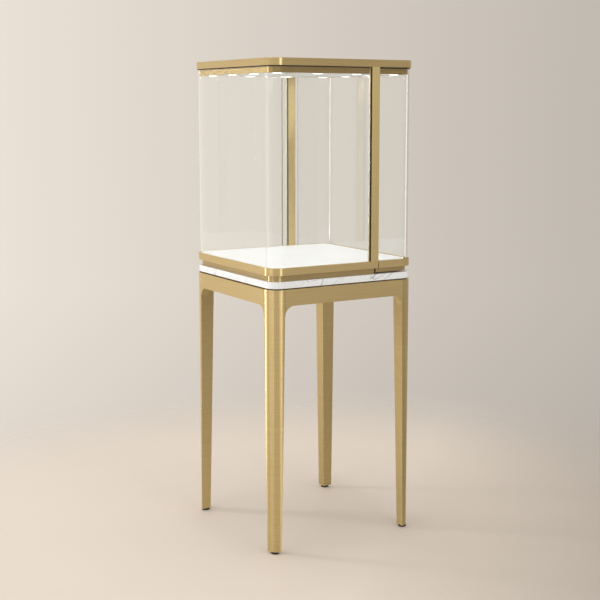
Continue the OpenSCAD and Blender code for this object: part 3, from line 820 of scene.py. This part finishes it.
def makeFloor(setup):
    shape = bmesh.new()
    bmesh.ops.create_circle(shape, cap_ends=True, segments=setup["steps"], radius=setup["radius"])
    mesh = bpy.data.meshes.new("floor")
    shape.to_mesh(mesh)
    shape.free()
    floor = bpy.data.objects.new("floor", mesh)
    collection.objects.link(floor)
    material, tree, shader, place = startMaterial("floor", {"Roughness": setup["rough"]})
    tone = evenNoise(tree, place["Object"], setup["toneSize"])
    paler = tuple(min(1, c * setup["paler"]) for c in setup["color"])
    pale = mixColors(tree, tone, setup["color"], paler)
    # painted shade: how far along the heading the floor has darkened
    dark = mapRange(tree, alongHeading(tree, place["Object"], setup["darkWay"]), *setup["darkReach"])
    color = mixColors(tree, dark, pale, setup["darkColor"])
    # painted shade: the floor shows darker to mirrored rays than to the eye
    glossy = addNode(tree, "ShaderNodeLightPath").outputs["Is Glossy Ray"]
    mirrored = mapRange(tree, dark, 0.0, 1.0, *setup["mirrored"])
    level = mapRange(tree, glossy, 0.0, 1.0, 1.0, mirrored)
    scaled = addNode(tree, "ShaderNodeVectorMath", {0: color, "Scale": level}, operation="SCALE").outputs[0]
    tree.links.new(scaled, shader.inputs["Base Color"])
    distance = addNode(tree, "ShaderNodeVectorMath", {0: place["Object"]}, operation="LENGTH")
    reach = {"Value": distance.outputs["Value"], **setup["fade"]}
    fade = addNode(tree, "ShaderNodeMapRange", reach, interpolation_type="SMOOTHSTEP")
    surface = mixShaders(tree, fade.outputs[0], shader.outputs[0], clearShader(tree))
    tree.links.new(surface, tree.nodes["Material Output"].inputs["Surface"])
    mesh.materials.append(material)


# World: an even light for the object, and a graded background for the rays that see or mirror it

# A grading is a range and the levels at its two ends. The first three have a heading in degrees before them
# and go by how far the view points along it, and the other two go by the height of the view
worldSetup = {
    "color": (1.0, 0.985, 0.96),
    "strength": 0.66,
    "background": (1.0, 0.912, 0.817),
    "tones": (265.0, -0.65, -0.095, 0.53, 0.90),
    "mirrored": (320.0, 0.3, 0.9, 1.0, 0.80),
    "edgeLight": (108.0, 0.90, 0.97, 0.0, 0.8),
    "mirroredHigh": (0.0, 0.5, 1.0, 0.80),
    "directLow": (-0.26, -0.15, 0.90, 1.0),
    "throughGlass": 1.05,
}


def makeWorld(setup):
    world = bpy.data.worlds.new("studio")
    world.use_nodes = True
    tree = world.node_tree
    light = tree.nodes["Background"]
    light.inputs["Color"].default_value = (*setup["color"], 1)
    light.inputs["Strength"].default_value = setup["strength"]
    way = addNode(tree, "ShaderNodeTexCoord").outputs["Generated"]
    height = addNode(tree, "ShaderNodeSeparateXYZ", {"Vector": way}).outputs["Z"]
    path = addNode(tree, "ShaderNodeLightPath").outputs

    def facing(degrees, *levels):
        return mapRange(tree, alongHeading(tree, way, degrees), *levels)

    tone = facing(*setup["tones"])
    mirrored = mathNode(tree, "MULTIPLY", tone, facing(*setup["mirrored"]))
    mirrored = mathNode(tree, "MULTIPLY", mirrored, mapRange(tree, height, *setup["mirroredHigh"]))
    direct = mathNode(tree, "MULTIPLY", tone, mapRange(tree, height, *setup["directLow"]))
    edgeLight = facing(*setup["edgeLight"])
    through = mathNode(tree, "MULTIPLY_ADD", direct, setup["throughGlass"], edgeLight)
    level = mixValues(tree, path["Is Transmission Ray"], direct, through)
    level = mixValues(tree, afterMirror(tree, path), level, mirrored)
    seen = addNode(tree, "ShaderNodeBackground", {"Color": (*setup["background"], 1), "Strength": level})
    rays = mathNode(tree, "MAXIMUM", path["Is Camera Ray"], path["Is Glossy Ray"])
    rays = mathNode(tree, "MAXIMUM", rays, path["Is Transmission Ray"])
    surface = mixShaders(tree, rays, light.outputs[0], seen.outputs[0])
    tree.links.new(surface, tree.nodes["World Output"].inputs["Surface"])
    bpy.context.scene.world = world


# Soft lamps

# Each lamp leaves out the pieces that it misses, and one that isn't mirrored lights without a highlight
strips = ("upperBand", "doorTopRail", "plinthFront", "doorPlinthRail")
lamps = {
    "key": {"place": (0.9, -3.6, 2.2), "aim": (0, 0, 0.8), "size": (2.0, 2.0), "strength": 1.15,
            "misses": ("capShell",)},
    "front": {"place": (-0.5, -3.0, 1.0), "aim": (0, 0, 0.72), "size": (1.5, 1.5), "strength": 2.0,
              "misses": ("floor",), "mirrored": False},
    "window": {"place": (-1.93, -2.27, 1.2), "aim": (0.19, -0.22, 0.9), "size": (0.4, 2.3), "strength": 8.5,
               "misses": ("glassFront", "capShell")},
    "side": {"place": (1.97, 1.55, 2.99), "aim": (0.2, 0, 0.9), "size": (1.5, 1.5), "strength": 0.9,
             "misses": (*strips, "capShell", "legBackLeft", "legBackRight")},
    "fill": {"place": (3.3, 0.15, 1.6), "aim": (0.2, 0, 0.9), "size": (1.0, 2.4), "strength": 2.0,
             "misses": ("glassFront", "doorGlass", "upperBand", "doorTopRail")},
    "top": {"place": (-0.4, -0.5, 3.6), "aim": (0, 0, 0.6), "size": (2.4, 2.4), "strength": 1.4},
}


def turnTowards(place, aim):
    return (Vector(place) - Vector(aim)).to_track_quat("Z", "Y")


def addLamp(name, lamp):
    data = bpy.data.lights.new(name, "AREA")
    data.shape = "RECTANGLE"
    data.size, data.size_y = lamp["size"]
    data.energy = lamp["strength"] * math.pi * lamp["size"][0] * lamp["size"][1]
    light = bpy.data.objects.new(name, data)
    light.location = lamp["place"]
    light.rotation_euler = turnTowards(lamp["place"], lamp["aim"]).to_euler()
    light.visible_camera = False
    light.visible_transmission = False  # or it would show through the panes
    light.visible_glossy = lamp.get("mirrored", True)
    collection.objects.link(light)
    if "misses" in lamp:
        missed = bpy.data.collections.new(name + "Misses")
        for piece in lamp["misses"]:
            missed.objects.link(bpy.data.objects[piece])
        for member in missed.collection_objects:
            member.light_linking.link_state = "EXCLUDE"
        light.light_linking.receiver_collection = missed


# Cards: they show only where a surface inside the case mirrors them out through the glass

cards = {
    "corner": {"place": (-1.18, -2.60, 1.1), "aim": (-0.2, 0.2, 1.1), "size": (0.5, 1.3), "strength": 11.5},
    "high": {"place": (-2.67, -1.56, 2.0), "aim": (0, -0.2, 1.27), "size": (1.0, 0.9), "strength": 5.0},
}

# After two faces of glass a ray sees the first share of a card's strength, and after four it sees all
cardSetup = {
    "facesPassed": (2, 4),
    "shares": (0.12, 1.0),
    "hiddenFrom": ("camera", "diffuse", "glossy", "volume_scatter", "shadow"),
}


def addCard(name, card, setup):
    shape = bmesh.new()
    bmesh.ops.create_grid(shape, x_segments=1, y_segments=1, size=0.5)
    turn = turnTowards(card["place"], card["aim"]).to_matrix().to_4x4()
    stretch = Matrix.Diagonal((*card["size"], 1, 1))
    bmesh.ops.transform(shape, matrix=Matrix.Translation(card["place"]) @ turn @ stretch, verts=shape.verts)
    mesh = bpy.data.meshes.new(name + "Card")
    shape.to_mesh(mesh)
    shape.free()
    piece = bpy.data.objects.new(name + "Card", mesh)
    collection.objects.link(piece)
    material = bpy.data.materials.new(name + "Card")
    material.use_nodes = True
    tree = material.node_tree
    path = addNode(tree, "ShaderNodeLightPath").outputs
    share = mapRange(tree, path["Transmission Depth"], *setup["facesPassed"], *setup["shares"])
    shown = mathNode(tree, "MULTIPLY", afterMirror(tree, path), share)
    light = addNode(tree, "ShaderNodeEmission", {"Strength": card["strength"]}).outputs[0]
    surface = mixShaders(tree, shown, clearShader(tree), light)
    tree.links.new(surface, tree.nodes["Material Output"].inputs["Surface"])
    material.cycles.emission_sampling = "NONE"
    mesh.materials.append(material)
    for rays in setup["hiddenFrom"]:
        setattr(piece, "visible_" + rays, False)


makeFloor(floorSetup)
makeWorld(worldSetup)
for name, card in cards.items():
    addCard(name, card, cardSetup)
for name, lamp in lamps.items():
    addLamp(name, lamp)
bpy.context.scene.view_settings.view_transform = "Standard"
print("floor, world, cards and lamps set")
